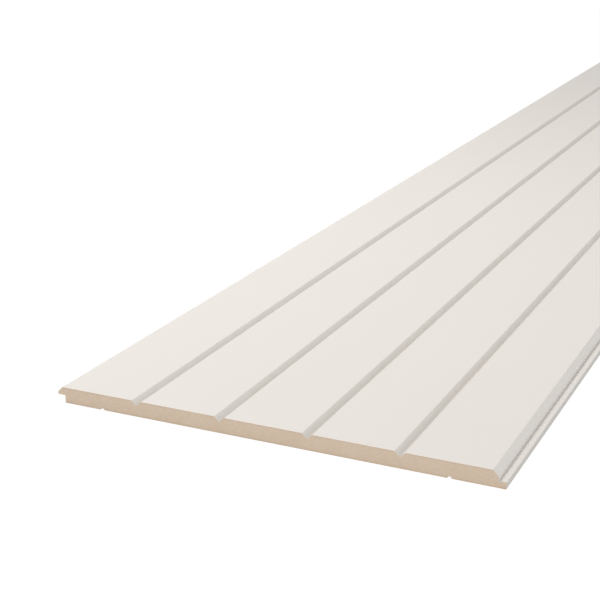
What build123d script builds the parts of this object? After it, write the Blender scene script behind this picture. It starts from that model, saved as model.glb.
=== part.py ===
from build123d import *
from math import radians, tan
import os

# Slat wall panel: one board of MDF, grooved and painted, lying on its back with its face up.
# X runs across the board, Y along it and Z up from the back. The origin is the middle of the back.

# The board, in millimetres
board_length = 2390.0
board_thickness = 10.0
cover_width = 280.0  # from one joint line to the next: what a board covers on the wall

# The slats and the V-grooves that part them
slat_count = 5
groove_width = 6.4
groove_angle = 90.0  # between the two walls of a groove

# The lap joint: the lip on a board's left edge covers the tongue on the right edge of the board before it
joint_bevel = 3.2  # 45 degrees on both edges, so that two boards meet in one more V
lip_thickness = 5.0
lip_overhang = 5.1
gap_under_lip = 0.8  # free height between a lip and the tongue below it
gap_past_tongue = 0.5  # free width between a tongue's end and the wall behind the lip
root_groove_width = 1.3  # the groove along a tongue's root, where dust and paint have room
root_groove_depth = 1.0
root_groove_draft = 12.0  # how far each of its walls leans, in degrees

# The shallow V-grooves that relieve the back
relief_width = 3.0
relief_angle = 90.0
relief_inset = 31.8  # from the board's outermost edges

# The rounding that sanding leaves on the painted corners
arris_radius = 0.4

# Places across the board, from left to right
tongue_length = lip_overhang - gap_past_tongue
tongue_thickness = board_thickness - lip_thickness - gap_under_lip
overall_width = cover_width + tongue_length
lip_tip = -overall_width / 2
tongue_end = overall_width / 2
step_wall = lip_tip + cover_width  # the next board's lip stops here

# The slats share what the two bevels leave of the face
face_left = lip_tip + joint_bevel
face_right = step_wall - joint_bevel
groove_pitch = (face_right - face_left + groove_width) / slat_count
groove_depth = groove_width / 2 / tan(radians(groove_angle / 2))
root_groove_lean = root_groove_depth * tan(radians(root_groove_draft))
relief_depth = relief_width / 2 / tan(radians(relief_angle / 2))

with BuildPart() as slat_panel:
    with BuildSketch(Plane.XZ) as section:
        # The sawn blank, standing on its back
        Rectangle(overall_width, board_thickness, align=(Align.CENTER, Align.MIN))

        # The rebate under the lip, and the step over the tongue
        with Locations((lip_tip, 0)):
            Rectangle(
                lip_overhang,
                board_thickness - lip_thickness,
                align=(Align.MIN, Align.MIN),
                mode=Mode.SUBTRACT,
            )
        with Locations((tongue_end, board_thickness)):
            Rectangle(
                tongue_length,
                board_thickness - tongue_thickness,
                align=(Align.MAX, Align.MAX),
                mode=Mode.SUBTRACT,
            )

        # The groove along the tongue's root, narrowing to its floor
        with Locations((step_wall, tongue_thickness)):
            Polygon(
                (0, 0),
                (root_groove_lean, -root_groove_depth),
                (root_groove_width - root_groove_lean, -root_groove_depth),
                (root_groove_width, 0),
                align=None,
                mode=Mode.SUBTRACT,
            )

        # The bevels on the two ends of the face
        chamfer(section.vertices().group_by(Axis.Y)[-1], joint_bevel)

        # The V-grooves between the slats
        with Locations(((face_left + face_right) / 2, board_thickness)):
            with GridLocations(groove_pitch, groove_pitch, slat_count - 1, 1):
                Polygon(
                    (-groove_width / 2, 0),
                    (0, -groove_depth),
                    (groove_width / 2, 0),
                    align=None,
                    mode=Mode.SUBTRACT,
                )

        # The relief grooves in the back
        with GridLocations(overall_width - 2 * relief_inset, board_thickness, 2, 1):
            Polygon(
                (-relief_width / 2, 0),
                (relief_width / 2, 0),
                (0, relief_depth),
                align=None,
                mode=Mode.SUBTRACT,
            )

        # The eased corners of the face, the lip's tip and the tongue's end
        fillet(section.vertices().group_by(Axis.Y)[-1], arris_radius)
        fillet(section.vertices().group_by(Axis.X)[0], arris_radius)
        fillet(section.vertices().group_by(Axis.X)[-1], arris_radius)
    extrude(amount=board_length / 2, both=True)

slat_panel.part.label = "slat_panel"

os.makedirs("parts", exist_ok=True)
export_step(slat_panel.part, "parts/slat_panel.step")
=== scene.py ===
import bpy
import bmesh
from math import pi, radians, tan
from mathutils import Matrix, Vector


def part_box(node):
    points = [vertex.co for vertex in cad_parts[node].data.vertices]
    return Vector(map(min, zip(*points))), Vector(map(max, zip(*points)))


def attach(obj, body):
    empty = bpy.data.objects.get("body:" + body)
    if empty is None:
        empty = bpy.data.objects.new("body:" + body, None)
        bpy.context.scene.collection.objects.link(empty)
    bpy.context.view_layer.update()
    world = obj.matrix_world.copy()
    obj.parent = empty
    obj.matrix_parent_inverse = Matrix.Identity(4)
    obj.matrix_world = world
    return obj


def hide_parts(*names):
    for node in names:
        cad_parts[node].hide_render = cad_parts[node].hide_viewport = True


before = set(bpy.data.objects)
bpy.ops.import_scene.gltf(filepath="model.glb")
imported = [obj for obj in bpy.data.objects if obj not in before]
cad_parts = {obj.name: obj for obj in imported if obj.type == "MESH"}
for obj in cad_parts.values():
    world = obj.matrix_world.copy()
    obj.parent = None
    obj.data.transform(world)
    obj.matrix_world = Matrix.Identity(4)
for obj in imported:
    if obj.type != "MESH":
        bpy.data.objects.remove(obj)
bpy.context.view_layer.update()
mm = 0.001
low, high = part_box("slat_panel")
print("frame loaded, board", [round((b - a) / mm, 1) for a, b in zip(low, high)], "mm")


# the board, cut out of one blank as the mill does it

panelCut = {  # mm, but for counts and angles
    "coverWidth": 280.0,
    "slatCount": 5,
    "grooveWidth": 6.4,
    "jointBevel": 3.2,
    "lipThickness": 5.0,
    "lipOverhang": 5.1,
    "tongueThickness": 4.2,
    "rootWidth": 1.3,  # groove along the tongue's root
    "rootDepth": 1.0,
    "rootDraft": 12.0,  # degrees that its walls lean
    "reliefWidth": 3.0,
    "reliefInset": 31.8,  # from the outermost edges
    "arrisRadius": 0.4,  # what sanding leaves on the painted corners
    "arrisSteps": 3,
    "smoothAngle": 30.0,  # degrees, up to which a corner shades round
}


def cutSize(name):  # in metres
    return panelCut[name] * mm


lipTip, tongueEnd = low.x, high.x
rebateWall = lipTip + cutSize("lipOverhang")
stepWall = lipTip + cutSize("coverWidth")
lipUnder = high.z - cutSize("lipThickness")
tongueTop = low.z + cutSize("tongueThickness")
rootFloor = tongueTop - cutSize("rootDepth")
rootEdge = stepWall + cutSize("rootWidth")
rootLean = cutSize("rootDepth") * tan(radians(panelCut["rootDraft"]))
faceLeft = lipTip + cutSize("jointBevel")
faceRight = stepWall - cutSize("jointBevel")
grooveDepth = cutSize("grooveWidth") / 2  # walls at 45 degrees, here and in the back
reliefDepth = cutSize("reliefWidth") / 2

touch = 0.01 * mm  # places closer than this are one
facing = 0.99  # a flat that looks along an axis has more than this of its normal there


def near(a, b):
    return abs(a - b) < touch


def pick(kind, test):  # selects what passes the test, in edit mode
    bpy.ops.mesh.select_mode(type=kind)
    bpy.ops.mesh.select_all(action="DESELECT")
    mesh = bpy.context.edit_object.data
    form = bmesh.from_edit_mesh(mesh)
    for item in {"VERT": form.verts, "EDGE": form.edges, "FACE": form.faces}[kind]:
        if test(item):
            item.select_set(True)
    bmesh.update_edit_mesh(mesh)


def pickLongEdges(places):  # edges along the board at these (x, z) places of its section
    def test(edge):
        a, b = (v.co for v in edge.verts)
        if not (near(a.x, b.x) and near(a.z, b.z)):
            return False
        return any(near(a.x, x) and near(a.z, z) for x, z in places)

    pick("EDGE", test)


def sawThrough(place, normal):  # a cut right round the board
    bpy.ops.mesh.select_all(action="SELECT")
    bpy.ops.mesh.bisect(plane_co=place, plane_no=normal)


def pullOut(x, z):  # extrudes what is picked
    bpy.ops.mesh.extrude_region_move(TRANSFORM_OT_translate={"value": (x, 0, z)})


def cutVee(middle, width, surface, depth):  # three cuts, then the middle one is pushed in
    for x in (middle - width / 2, middle, middle + width / 2):
        sawThrough((x, 0, 0), (1, 0, 0))
    pick("VERT", lambda v: near(v.co.x, middle) and near(v.co.z, surface))
    bpy.ops.transform.translate(value=(0, 0, depth))


def makePanel():
    # blank between the two upright walls of the lap joint
    bpy.ops.object.select_all(action="DESELECT")
    bpy.ops.mesh.primitive_cube_add(
        size=1,
        location=((rebateWall + stepWall) / 2, (low.y + high.y) / 2, (low.z + high.z) / 2),
        scale=(stepWall - rebateWall, high.y - low.y, high.z - low.z),
    )
    panel = bpy.context.active_object
    panel.name = panel.data.name = "slatPanel"
    bpy.ops.object.transform_apply(location=True, rotation=False, scale=True)
    bpy.ops.object.mode_set(mode="EDIT")

    # lip out of the upper half of the left wall
    sawThrough((0, 0, lipUnder), (0, 0, 1))
    pick("FACE", lambda f: f.normal.x < -facing and f.calc_center_median().z > lipUnder)
    pullOut(lipTip - rebateWall, 0)

    # tongue out of the foot of the right one, raised past the groove along its root
    sawThrough((0, 0, rootFloor), (0, 0, 1))
    sawThrough((0, 0, tongueTop), (0, 0, 1))
    pick("FACE", lambda f: f.normal.x > facing and f.calc_center_median().z < rootFloor)
    pullOut(rootEdge - stepWall, 0)
    pullOut(tongueEnd - rootEdge, 0)
    pick("FACE", lambda f: f.normal.z > facing and f.calc_center_median().x > rootEdge)
    pullOut(0, tongueTop - rootFloor)

    # that groove's floor drawn in, so that its walls lean
    pick("FACE", lambda f: f.normal.z > facing and stepWall < f.calc_center_median().x < rootEdge)
    bpy.ops.transform.resize(value=(1 - 2 * rootLean / cutSize("rootWidth"), 1, 1))

    # bevels, each half of the V at a joint
    pickLongEdges([(lipTip, high.z), (stepWall, high.z)])
    bpy.ops.mesh.bevel(offset=cutSize("jointBevel"), segments=1, affect="EDGES")

    # V-grooves between the slats, and relief grooves in the back
    grooveWidth, reliefInset = cutSize("grooveWidth"), cutSize("reliefInset")
    pitch = (faceRight - faceLeft + grooveWidth) / panelCut["slatCount"]
    faceCorners = [faceLeft, faceRight]
    for i in range(1, panelCut["slatCount"]):
        middle = faceLeft - grooveWidth / 2 + i * pitch
        cutVee(middle, grooveWidth, high.z, -grooveDepth)
        faceCorners += [middle - grooveWidth / 2, middle + grooveWidth / 2]
    for middle in (lipTip + reliefInset, tongueEnd - reliefInset):
        cutVee(middle, cutSize("reliefWidth"), low.z, reliefDepth)

    # sanded corners: those of the face and under the lip's bevel turn by 45 degrees, the others by 90
    bluntCorners = [(x, high.z) for x in faceCorners] + [(lipTip, high.z - cutSize("jointBevel"))]
    squareCorners = [(lipTip, lipUnder), (tongueEnd, tongueTop), (tongueEnd, low.z)]
    for turn, corners in ((45, bluntCorners), (90, squareCorners)):
        pickLongEdges(corners)
        setBack = cutSize("arrisRadius") * tan(radians(turn) / 2)
        bpy.ops.mesh.bevel(offset=setBack, segments=panelCut["arrisSteps"], affect="EDGES")

    # round corners shade smooth while the flats stay flat
    bpy.ops.object.mode_set(mode="OBJECT")
    bpy.ops.object.shade_smooth_by_angle(angle=radians(panelCut["smoothAngle"]))
    bpy.ops.object.modifier_add(type="WEIGHTED_NORMAL")
    panel.modifiers[-1].keep_sharp = True
    bpy.ops.object.modifier_apply(modifier=panel.modifiers[-1].name)
    return panel


panel = makePanel()
print("panel cut,", len(panel.data.polygons), "faces")


# finishes

def hexLinear(code):  # sRGB hex to linear
    parts = [int(code[i:i + 2], 16) / 255 for i in (1, 3, 5)]
    return [p / 12.92 if p <= 0.04045 else ((p + 0.055) / 1.055) ** 2.4 for p in parts] + [1.0]


def addNode(tree, kind, links=None, **settings):  # links take a node, a socket or a plain value
    node = tree.nodes.new(kind)
    for name, value in settings.items():
        setattr(node, name, value)
    for key, source in (links or {}).items():
        named = (s for s in node.inputs if s.name == key and s.enabled)
        socket = node.inputs[key] if isinstance(key, int) else next(named)
        if isinstance(source, bpy.types.Node):
            source = next(s for s in source.outputs if s.enabled)
        if isinstance(source, bpy.types.NodeSocket):
            tree.links.new(source, socket)
        else:
            socket.default_value = source
    return node


def startMaterial(name):  # empty tree, and the board's own coordinates
    material = bpy.data.materials.new(name)
    material.use_nodes = True
    tree = material.node_tree
    tree.nodes.clear()
    return material, tree, addNode(tree, "ShaderNodeTexCoord").outputs["Object"]


def endMaterial(tree, colour, roughness, ior, height, relief):  # relief in mm
    bump = addNode(tree, "ShaderNodeBump", {"Height": height, "Distance": relief * mm})
    shader = addNode(tree, "ShaderNodeBsdfPrincipled", {
        "Base Color": colour, "Roughness": roughness, "IOR": ior, "Normal": bump})
    addNode(tree, "ShaderNodeOutputMaterial", {"Surface": shader})


def perMetre(size):  # texture scale for a pattern of this size in mm
    return 1 / (size * mm)


faceCoat = {
    "colour": "#F1EBE4",
    "thinColour": "#EFE9E2",
    "cloudSize": 60.0,  # mm, slow drift in how thick the film lies
    "peelSize": 2.2,  # mm
    "peelHeight": 0.006,  # mm
    "roughness": (0.56, 0.64),
    "ior": 1.49,  # acrylic
}


def sprayedTopcoat():
    # waterborne acrylic topcoat on primed and sanded MDF: an even warm white, silk-matt,
    # with a faint orange peel that only shows in the sheen
    material, tree, places = startMaterial("sprayedTopcoat")
    cloud = addNode(tree, "ShaderNodeTexNoise", {
        "Vector": places, "Scale": perMetre(faceCoat["cloudSize"]), "Detail": 3.0})
    film = addNode(tree, "ShaderNodeMix", {
        "Factor": cloud, "A": hexLinear(faceCoat["thinColour"]), "B": hexLinear(faceCoat["colour"])},
        data_type="RGBA")
    peel = addNode(tree, "ShaderNodeTexNoise", {
        "Vector": places, "Scale": perMetre(faceCoat["peelSize"]), "Detail": 1.0})
    sheen = addNode(tree, "ShaderNodeMapRange", {
        "Value": cloud, "To Min": faceCoat["roughness"][0], "To Max": faceCoat["roughness"][1]})
    endMaterial(tree, film, sheen, faceCoat["ior"], peel, faceCoat["peelHeight"])
    return material


edgeCoat = {
    "colour": "#ECE7E1",
    "pitColour": "#E0D9D0",
    "pitRange": (0.5, 0.8),  # of the fibre noise, from no pit to a full one
    "pitShare": 0.6,
    "fibreWidth": 0.5,  # mm, raised fibres lie along the cutter's path
    "fibreLength": 6.0,
    "fibreHeight": 0.015,
    "roughness": (0.6, 0.72),
    "ior": 1.49,
}
grooveShadeCoat = dict(  # painted shade: a darker coat on the groove walls that face right, away from the left softbox
    edgeCoat,
    colour="#E6E1DB",
    pitColour="#DAD3CA",
    deepShadeColour="#D9D4CE",
    shadeStartDepth=0.9,  # mm below the face, past which painted shade darkens the wall towards the groove's bottom
)
stepPaintedLight = dict(edgeCoat, colour="#EFEBE7", pitColour="#E9E5E0")  # painted light: a lighter coat on the step wall, for the light it catches from the right; the groove at the tongue's root shares it
tongueEndShadeCoat = dict(edgeCoat, colour="#DCD8D2", pitColour="#D0CAC2")  # painted shade: a darker coat on the tongue's end wall, for the shade it lies in low down by the floor


def coatOverMilling(name, coat):
    # the same topcoat where the cutter opened the board's softer middle: it soaks in,
    # so walls of grooves and laps are duller, with a little raised fibre under the film
    material, tree, places = startMaterial(name)
    grain = [perMetre(coat[size]) for size in ("fibreWidth", "fibreLength", "fibreWidth")]
    along = addNode(tree, "ShaderNodeMapping", {"Vector": places, "Scale": grain})
    fibre = addNode(tree, "ShaderNodeTexNoise", {"Vector": along, "Scale": 1.0, "Detail": 3.0})
    pits = addNode(tree, "ShaderNodeMapRange", {
        "Value": fibre, "From Min": coat["pitRange"][0], "From Max": coat["pitRange"][1],
        "To Max": coat["pitShare"]})
    body = hexLinear(coat["colour"])
    # painted shade: deeper in the groove the colour darkens towards its bottom
    if "deepShadeColour" in coat:
        height = addNode(tree, "ShaderNodeSeparateXYZ", {"Vector": places}).outputs["Z"]
        depthShade = addNode(tree, "ShaderNodeMapRange", {
            "Value": height, "From Min": high.z - grooveDepth,
            "From Max": high.z - coat["shadeStartDepth"] * mm})
        body = addNode(tree, "ShaderNodeMix", {
            "Factor": depthShade, "A": hexLinear(coat["deepShadeColour"]), "B": body}, data_type="RGBA")
    film = addNode(tree, "ShaderNodeMix", {
        "Factor": pits, "A": body, "B": hexLinear(coat["pitColour"])}, data_type="RGBA")
    dull = addNode(tree, "ShaderNodeMapRange", {
        "Value": fibre, "To Min": coat["roughness"][0], "To Max": coat["roughness"][1]})
    endMaterial(tree, film, dull, coat["ior"], fibre, coat["fibreHeight"])
    return material


def fleckedFibre(tree, board, streaks, specks):  # two tones of pressed fibre, and darker flecks on them
    tone = addNode(tree, "ShaderNodeMapRange", {
        "Value": streaks, "From Min": board["toneRange"][0], "From Max": board["toneRange"][1]})
    body = addNode(tree, "ShaderNodeMix", {
        "Factor": tone, "A": hexLinear(board["darkColour"]), "B": hexLinear(board["colour"])},
        data_type="RGBA")
    flecks = addNode(tree, "ShaderNodeMapRange", {
        "Value": specks, "From Min": board["fleckRange"][0], "From Max": board["fleckRange"][1],
        "To Max": board["fleckShare"]})
    return addNode(tree, "ShaderNodeMix", {
        "Factor": flecks, "A": body, "B": hexLinear(board["fleckColour"])}, data_type="RGBA")


sawnCore = {
    "colour": "#DFCCB7",
    "darkColour": "#D5C0A9",
    "fibreLength": 2.6,  # mm, pressed flat; drawn some three times as coarse as real, to show
    "fibreHeight": 0.7,
    "blotchSize": 14.0,
    "blotchShare": 0.3,  # what the blotches add to the fibre noise
    "toneRange": (0.4, 0.9),  # of the two together, from dark to light
    "fleckColour": "#B0926F",
    "fleckSize": 0.8,
    "fleckRange": (0.62, 0.8),  # of the speck noise, from no fleck to a full one
    "fleckShare": 0.7,
    "skinColour": "#C7AD90",
    "skinDepth": 1.3,  # denser outer layers of the board
    "skinShare": 0.4,
    "sawSpacing": 1.4,  # tooth marks
    "sawShare": 0.3,  # of the relief, beside the fibres
    "relief": 0.05,
    "roughness": 0.86,
    "ior": 1.53,  # wood fibre and resin
}


def sawnMdf():
    # pressed softwood fibre, sawn or milled and left bare: light tan, dry and matt, with
    # flat-lying fibre streaks, darker flecks and denser layers towards both faces
    material, tree, places = startMaterial("sawnMdf")
    grain = [perMetre(sawnCore[size]) for size in ("fibreLength", "fibreLength", "fibreHeight")]
    flat = addNode(tree, "ShaderNodeMapping", {"Vector": places, "Scale": grain})
    fibre = addNode(tree, "ShaderNodeTexNoise", {
        "Vector": flat, "Scale": 1.0, "Detail": 4.0, "Roughness": 0.6})
    blotch = addNode(tree, "ShaderNodeTexNoise", {
        "Vector": places, "Scale": perMetre(sawnCore["blotchSize"]), "Detail": 2.0})
    streaks = addNode(tree, "ShaderNodeMath", {
        0: blotch, 1: sawnCore["blotchShare"], 2: fibre}, operation="MULTIPLY_ADD")
    fleckSpacing = 2 * sawnCore["fleckSize"]  # flecks with as much room between them
    specks = addNode(tree, "ShaderNodeTexNoise", {
        "Vector": flat, "Scale": sawnCore["fibreLength"] / fleckSpacing, "Detail": 2.0})
    flecked = fleckedFibre(tree, sawnCore, streaks, specks)

    # skins: how near a place is to the face or the back
    height = addNode(tree, "ShaderNodeSeparateXYZ", {"Vector": places}).outputs["Z"]
    fromMiddle = addNode(tree, "ShaderNodeMath", {0: height, 1: (low.z + high.z) / 2}, operation="SUBTRACT")
    offMiddle = addNode(tree, "ShaderNodeMath", {0: fromMiddle}, operation="ABSOLUTE")
    halfBoard = (high.z - low.z) / 2
    skin = addNode(tree, "ShaderNodeMapRange", {
        "Value": offMiddle, "From Min": halfBoard - sawnCore["skinDepth"] * mm, "From Max": halfBoard,
        "To Max": sawnCore["skinShare"]}, interpolation_type="SMOOTHSTEP")
    layered = addNode(tree, "ShaderNodeMix", {
        "Factor": skin, "A": flecked, "B": hexLinear(sawnCore["skinColour"])}, data_type="RGBA")

    waveLength = pi / 10  # of the wave texture at scale 1
    toothMarks = addNode(tree, "ShaderNodeTexWave", {
        "Vector": places, "Scale": waveLength * perMetre(sawnCore["sawSpacing"]),
        "Distortion": 2.0, "Detail": 1.0})
    surface = addNode(tree, "ShaderNodeMath", {
        0: toothMarks.outputs["Fac"], 1: sawnCore["sawShare"], 2: fibre}, operation="MULTIPLY_ADD")
    endMaterial(tree, layered, sawnCore["roughness"], sawnCore["ior"], surface, sawnCore["relief"])
    return material


sandedBack = {
    "colour": "#CDB496",
    "darkColour": "#C0A585",
    "mottleSize": 5.0,  # mm
    "beltSpacing": 1.2,  # sanding belt's lines
    "beltLength": 140.0,
    "beltShare": 0.5,  # what the lines add to the mottle
    "toneRange": (0.55, 0.95),
    "fleckColour": "#9C7E5C",
    "fleckSize": 1.3,
    "fleckRange": (0.6, 0.75),
    "fleckShare": 0.6,
    "relief": 0.01,
    "roughness": 0.68,
    "ior": 1.53,
}


def sandedMdf():
    # the board's own dense back, belt-sanded at the works: smoother and browner than the core,
    # freckled with fibre bundles and faintly lined along the board
    material, tree, places = startMaterial("sandedMdf")
    mottle = addNode(tree, "ShaderNodeTexNoise", {
        "Vector": places, "Scale": perMetre(sandedBack["mottleSize"]), "Detail": 5.0, "Roughness": 0.65})
    along = addNode(tree, "ShaderNodeMapping", {"Vector": places, "Scale": (
        perMetre(sandedBack["beltSpacing"]), perMetre(sandedBack["beltLength"]), 1.0)})
    belt = addNode(tree, "ShaderNodeTexNoise", {"Vector": along, "Scale": 1.0, "Detail": 2.0})
    both = addNode(tree, "ShaderNodeMath", {
        0: belt, 1: sandedBack["beltShare"], 2: mottle}, operation="MULTIPLY_ADD")
    specks = addNode(tree, "ShaderNodeTexNoise", {
        "Vector": places, "Scale": perMetre(sandedBack["fleckSize"]), "Detail": 3.0})
    freckled = fleckedFibre(tree, sandedBack, both, specks)
    endMaterial(tree, freckled, sandedBack["roughness"], sandedBack["ior"], both, sandedBack["relief"])
    return material


def finishOf(face):  # which of the board's finishes a face has
    way, place = face.normal, face.center
    if abs(way.y) > facing:
        return "sawnMdf"
    if way.z > facing and near(place.z, high.z):
        return "sprayedTopcoat"
    if way.z < -facing and near(place.z, low.z):
        return "sandedMdf"
    underLip = place.x < rebateWall + touch and place.z < lipUnder + touch
    inRelief = rebateWall < place.x < faceRight and way.z < 0
    if underLip or inRelief:
        return "sawnMdf"
    # painted light: the step wall and the groove at the tongue's root take the lighter step coat
    if near(place.x, stepWall) or stepWall < place.x < rootEdge:
        return "stepPaintedLight"
    # painted shade: the tongue's end wall takes the darker coat
    if near(place.x, tongueEnd):
        return "tongueEndShadeCoat"
    # painted shade: groove walls that face right, away from the left softbox, take the darker coat
    shadedGrooveWall = faceLeft < place.x < faceRight and way.x > 0
    return "grooveShadeCoat" if shadedGrooveWall else "edgeCoat"


finishes = [
    sprayedTopcoat(),
    coatOverMilling("edgeCoat", edgeCoat),
    coatOverMilling("grooveShadeCoat", grooveShadeCoat),
    coatOverMilling("stepPaintedLight", stepPaintedLight),
    coatOverMilling("tongueEndShadeCoat", tongueEndShadeCoat),
    sawnMdf(),
    sandedMdf(),
]
for material in finishes:
    panel.data.materials.append(material)
slots = [material.name for material in finishes]
for face in panel.data.polygons:
    face.material_index = slots.index(finishOf(face))
print("finishes on:", ", ".join(slots))


# plain stage

stage = {
    "floorSize": 14.0,  # m
    "floorColour": "#E7E7E7",
    "floorWhite": 1.1,  # what the camera sees of the floor is mostly this plain white
    "whiteShare": 0.85,
    "skyStrength": 0.557,
}


def seenDirectly(tree):  # 1 for rays from the camera, a mirror or glass, 0 for the light on things
    path = addNode(tree, "ShaderNodeLightPath").outputs
    mirrored = addNode(tree, "ShaderNodeMath", {
        0: path["Is Camera Ray"], 1: path["Is Glossy Ray"]}, operation="MAXIMUM")
    return addNode(tree, "ShaderNodeMath", {
        0: mirrored, 1: path["Is Transmission Ray"]}, operation="MAXIMUM")


def makeFloor():
    bpy.ops.object.select_all(action="DESELECT")
    bpy.ops.mesh.primitive_plane_add(size=stage["floorSize"])
    floor = bpy.context.active_object
    floor.name = "floor"

    # matt white paper: it keeps a little of the board's shadow and is otherwise plain
    material, tree = startMaterial("paleFloor")[:2]
    matt = addNode(tree, "ShaderNodeBsdfDiffuse", {"Color": hexLinear(stage["floorColour"])})
    white = addNode(tree, "ShaderNodeEmission", {"Strength": stage["floorWhite"]})
    share = addNode(tree, "ShaderNodeMath", {
        0: seenDirectly(tree), 1: stage["whiteShare"]}, operation="MULTIPLY")
    lit = addNode(tree, "ShaderNodeMixShader", {0: share, 1: matt, 2: white})
    addNode(tree, "ShaderNodeOutputMaterial", {"Surface": lit})
    floor.data.materials.append(material)


def lightSky():
    world = bpy.data.worlds.new("studio")
    bpy.context.scene.world = world
    world.use_nodes = True
    tree = world.node_tree
    tree.nodes.clear()
    light = addNode(tree, "ShaderNodeBackground", {"Color": (1, 1, 1, 1), "Strength": stage["skyStrength"]})
    white = addNode(tree, "ShaderNodeBackground", {"Color": (1, 1, 1, 1), "Strength": 1.0})
    both = addNode(tree, "ShaderNodeMixShader", {0: seenDirectly(tree), 1: light, 2: white})
    addNode(tree, "ShaderNodeOutputWorld", {"Surface": both})


lamps = {  # places in m from the point they all face; width in m, power in W
    "leftSoftbox": {"place": (-0.6, 0.2, 1.1), "width": 0.6, "power": 5.5},
    "rightFill": {"place": (1.5, -0.6, 0.2), "width": 0.38, "power": 2.2},
    "frontFill": {"place": (0.3, -2.0, 0.8), "width": 1.2, "power": 9.5},
}
aimFromEnd = 0.195  # m from the board's near end to that point, on the floor
lampAim = Vector((0, low.y + aimFromEnd, low.z))


def hangLamps():
    for name, lamp in lamps.items():
        place = Vector(lamp["place"])
        turn = (-place).to_track_quat("-Z", "Y").to_euler()
        bpy.ops.object.light_add(type="AREA", location=lampAim + place, rotation=turn)
        light = bpy.context.active_object
        light.name = name
        light.data.shape = "DISK"
        light.data.size = lamp["width"]
        light.data.energy = lamp["power"]


view = {
    "eye": (311.2, -625.3, 322.1),  # mm from the middle of the board's near end, on the floor
    "pitch": 18.676,  # degrees below level
    "yaw": 24.862,
    "lens": 79.97,  # mm
    "sensor": 36.0,
}


def setCamera():
    x, y, z = (v * mm for v in view["eye"])
    bpy.ops.object.camera_add(
        location=(x, low.y + y, low.z + z),
        rotation=(radians(90 - view["pitch"]), 0, radians(view["yaw"])),
    )
    camera = bpy.context.active_object
    camera.data.sensor_width = view["sensor"]
    camera.data.lens = view["lens"]
    bpy.context.scene.camera = camera
    bpy.context.scene.view_settings.view_transform = "Standard"


makeFloor()
lightSky()
hangLamps()
setCamera()
print("stage set,", len(lamps), "lamps")

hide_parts("slat_panel")
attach(panel, "root")
